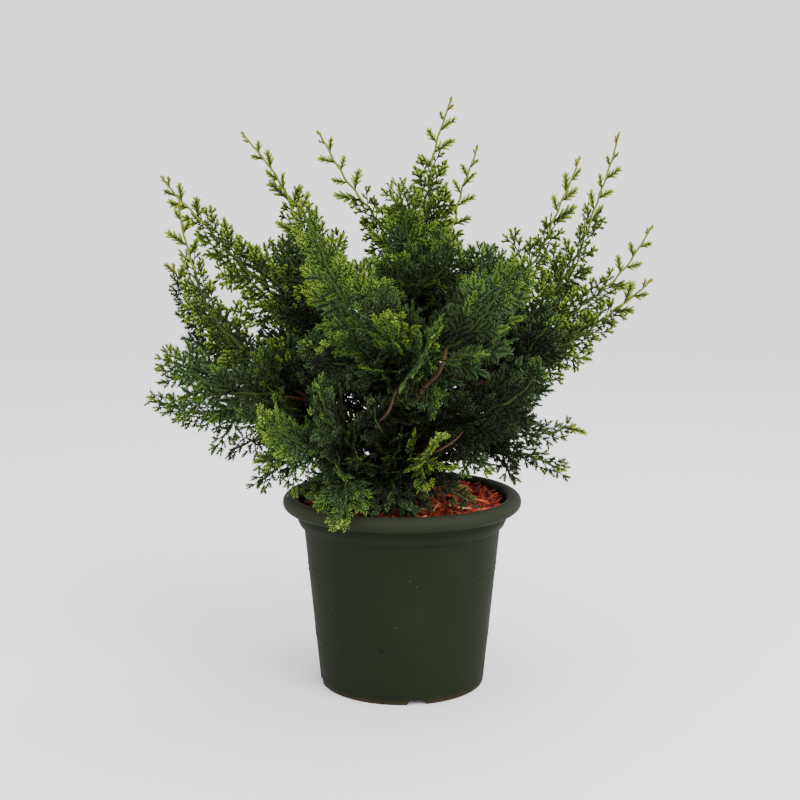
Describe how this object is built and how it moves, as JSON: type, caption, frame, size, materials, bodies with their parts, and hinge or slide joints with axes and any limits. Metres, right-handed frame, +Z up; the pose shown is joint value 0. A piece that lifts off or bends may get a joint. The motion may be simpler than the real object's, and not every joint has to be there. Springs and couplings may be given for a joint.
{
  "type": "potted dwarf hinoki cypress",
  "caption": "A bushy dwarf hinoki cypress with flat fern-like sprays and long leaders, in a dark green plastic nursery pot topped with bark.",
  "frame": {"origin": "the middle of the pot's underside, on the surface it stands on", "axes": "+Z is up along the pot's axis, +X is to the right and -Y is the front"},
  "size_m": [0.4871, 0.3686, 0.563],
  "materials": {
    "pot_plastic": "satin",
    "compost": "rough",
    "bark_mulch": "rough",
    "cypress_bark": "rough",
    "foliage_dark": "matte",
    "foliage_green": "matte",
    "foliage_bright": "matte"
  },
  "bodies": {
    "root": {"pot": "pot_plastic", "root_ball": "compost", "bark_mulch": "bark_mulch", "trunk": "cypress_bark", "bough_left_high": "cypress_bark", "bough_left_upright": "cypress_bark", "bough_left_back": "cypress_bark", "bough_left_low": "cypress_bark", "bough_front_left": "cypress_bark", "bough_front": "cypress_bark", "bough_front_right": "cypress_bark", "bough_front_high": "cypress_bark", "bough_right_high": "cypress_bark", "bough_right_out": "cypress_bark", "bough_right_low": "cypress_bark", "bough_back_right": "cypress_bark", "bough_back": "cypress_bark", "bough_back_left": "cypress_bark", "bough_back_low": "cypress_bark", "plume_top": "foliage_green", "plume_top_inner": "foliage_green", "plume_top_left": "foliage_green", "plume_top_right": "foliage_green", "plume_left_high": "foliage_green", "plume_left_leader": "foliage_green", "plume_left_upright": "foliage_green", "plume_left_middle": "foliage_green", "plume_left_dark": "foliage_dark", "plume_left_drop": "foliage_dark", "plume_left_low": "foliage_green", "plume_left_pot": "foliage_dark", "plume_front_left": "foliage_bright", "plume_front_rising": "foliage_green", "plume_front_rim": "foliage_dark", "plume_front_bright": "foliage_bright", "plume_front_trailing": "foliage_dark", "plume_front_low": "foliage_dark", "plume_right_front": "foliage_green", "plume_bright": "foliage_bright", "plume_front_middle": "foliage_green", "plume_front_right": "foliage_green", "plume_right_high": "foliage_green", "plume_right_inner": "foliage_green", "plume_right_leader": "foliage_green", "plume_right_out": "foliage_green", "plume_right_spread": "foliage_green", "plume_right_low": "foliage_dark", "plume_right_pot": "foliage_green", "plume_back_right_low": "foliage_green", "plume_back_right": "foliage_dark", "plume_back_low": "foliage_dark", "plume_back": "foliage_green", "plume_back_left_low": "foliage_dark", "plume_back_left": "foliage_green", "plume_pot_back_left": "foliage_dark", "plume_pot_back_right": "foliage_dark"}
  },
  "joints": []
}
